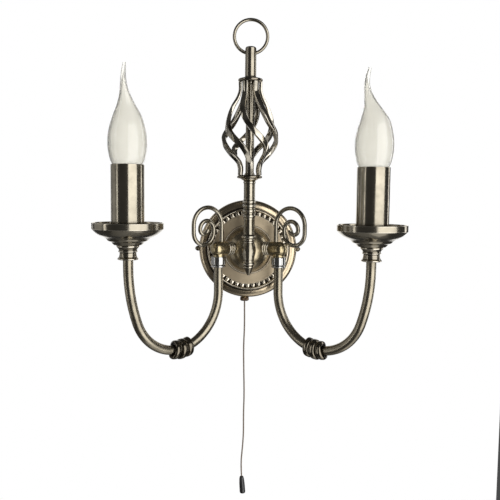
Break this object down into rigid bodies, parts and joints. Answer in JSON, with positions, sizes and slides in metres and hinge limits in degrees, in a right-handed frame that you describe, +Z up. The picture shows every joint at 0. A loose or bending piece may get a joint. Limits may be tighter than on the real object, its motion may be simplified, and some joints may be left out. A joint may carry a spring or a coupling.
{
  "type": "double arm wall sconce",
  "caption": "Wall sconce with curved arms, candle tubes and flame bulbs on a round plate, a twisted cage column, scrolls and a pull cord switch.",
  "frame": {"origin": "on the wall, at the middle of the round wall plate", "axes": "+Y into the wall, +Z up, +X to the right as seen from the room"},
  "size_m": [0.2768, 0.1384, 0.486],
  "materials": {
    "antique_brass": "antique brass, brushed and lacquered, dark in the recesses",
    "dark_brass": "dark antique brass, lacquered",
    "bright_brass": "antique brass with rubbed bright faces",
    "nickel": "bright nickel",
    "zinc_steel": "zinc plated",
    "brass_thread": "plain brass",
    "cream_plastic": "moulded, plain",
    "frosted_glass": "frosted",
    "cap_metal": "plain",
    "black_plastic": "moulded",
    "cord": "fine braided cord"
  },
  "bodies": {
    "root": {"wall_bracket": "zinc_steel", "earth_screw": "zinc_steel", "terminal_block": "cream_plastic", "wall_plate": "antique_brass", "plate_screws": "dark_brass", "hub": "antique_brass", "clamp_plate": "zinc_steel", "hub_stud": "zinc_steel", "hub_nut": "zinc_steel", "elbow_nuts": "zinc_steel", "switch_case": "cream_plastic", "switch_cover": "cream_plastic", "switch_spring": "zinc_steel", "switch_bush": "brass_thread", "bush_nut": "brass_thread", "tie_rod": "zinc_steel", "finial": "antique_brass", "vase": "antique_brass", "lower_spindle": "antique_brass", "ribbed_collar": "antique_brass", "upper_spindle": "antique_brass", "cage_foot": "antique_brass", "cage_bars": "bright_brass", "cage_post": "antique_brass", "cage_head": "antique_brass", "stem": "antique_brass", "top_ring": "antique_brass", "elbow_right": "antique_brass", "collar_right": "nickel", "arm_right": "dark_brass", "knot_right": "dark_brass", "scroll_right": "antique_brass", "cup_right": "antique_brass", "drip_pan_right": "antique_brass", "candle_tube_right": "antique_brass", "nipple_right": "brass_thread", "lampholder_right": "cream_plastic", "socket_contacts_right": "brass_thread", "elbow_left": "antique_brass", "collar_left": "nickel", "arm_left": "dark_brass", "knot_left": "dark_brass", "scroll_left": "antique_brass", "cup_left": "antique_brass", "drip_pan_left": "antique_brass", "candle_tube_left": "antique_brass", "nipple_left": "brass_thread", "lampholder_left": "cream_plastic", "socket_contacts_left": "brass_thread"},
    "cord": {"pull_cord": "cord", "cord_pull": "black_plastic", "switch_slider": "cream_plastic"},
    "cam": {"switch_cam": "cream_plastic"},
    "bulb_foot_right": {"bulb_pip_right": "zinc_steel"},
    "bulb_right": {"bulb_cap_right": "cap_metal", "bulb_glass_right": "frosted_glass"},
    "bulb_foot_left": {"bulb_pip_left": "zinc_steel"},
    "bulb_left": {"bulb_cap_left": "cap_metal", "bulb_glass_left": "frosted_glass"}
  },
  "joints": [
    {"name": "cord_pull_down", "type": "slide", "parent": "root", "child": "cord", "axis": [0, 0, -1], "range_m": [0, 0.008], "stiffness_N_per_m": 400, "springref_m": -0.005, "deforming": ["switch_spring"]},
    {"name": "cam_turn", "type": "hinge", "parent": "root", "child": "cam", "pos_m": [0.005, -0.0088, -0.03425], "axis": [0, -1, 0], "range_deg": [0, 53.13]},
    {"name": "bulb_lift_right", "type": "slide", "parent": "root", "child": "bulb_foot_right", "axis": [0, 0, 1], "range_m": [0, 0.0268]},
    {"name": "bulb_turn_right", "type": "hinge", "parent": "bulb_foot_right", "child": "bulb_right", "pos_m": [0.10725, -0.10725, 0.0455], "axis": [0, 0, 1], "range_deg": [0, 3420]},
    {"name": "bulb_lift_left", "type": "slide", "parent": "root", "child": "bulb_foot_left", "axis": [0, 0, 1], "range_m": [0, 0.0268]},
    {"name": "bulb_turn_left", "type": "hinge", "parent": "bulb_foot_left", "child": "bulb_left", "pos_m": [-0.10725, -0.10725, 0.0455], "axis": [0, 0, 1], "range_deg": [0, 3420]}
  ],
  "couplings": [
    {"joint": "cam_turn", "follows": "cord_pull_down", "rad_per_m": 115.9},
    {"joint": "bulb_lift_right", "follows": "bulb_turn_right", "m_per_rad": 0.00044882},
    {"joint": "bulb_lift_left", "follows": "bulb_turn_left", "m_per_rad": 0.00044882}
  ]
}
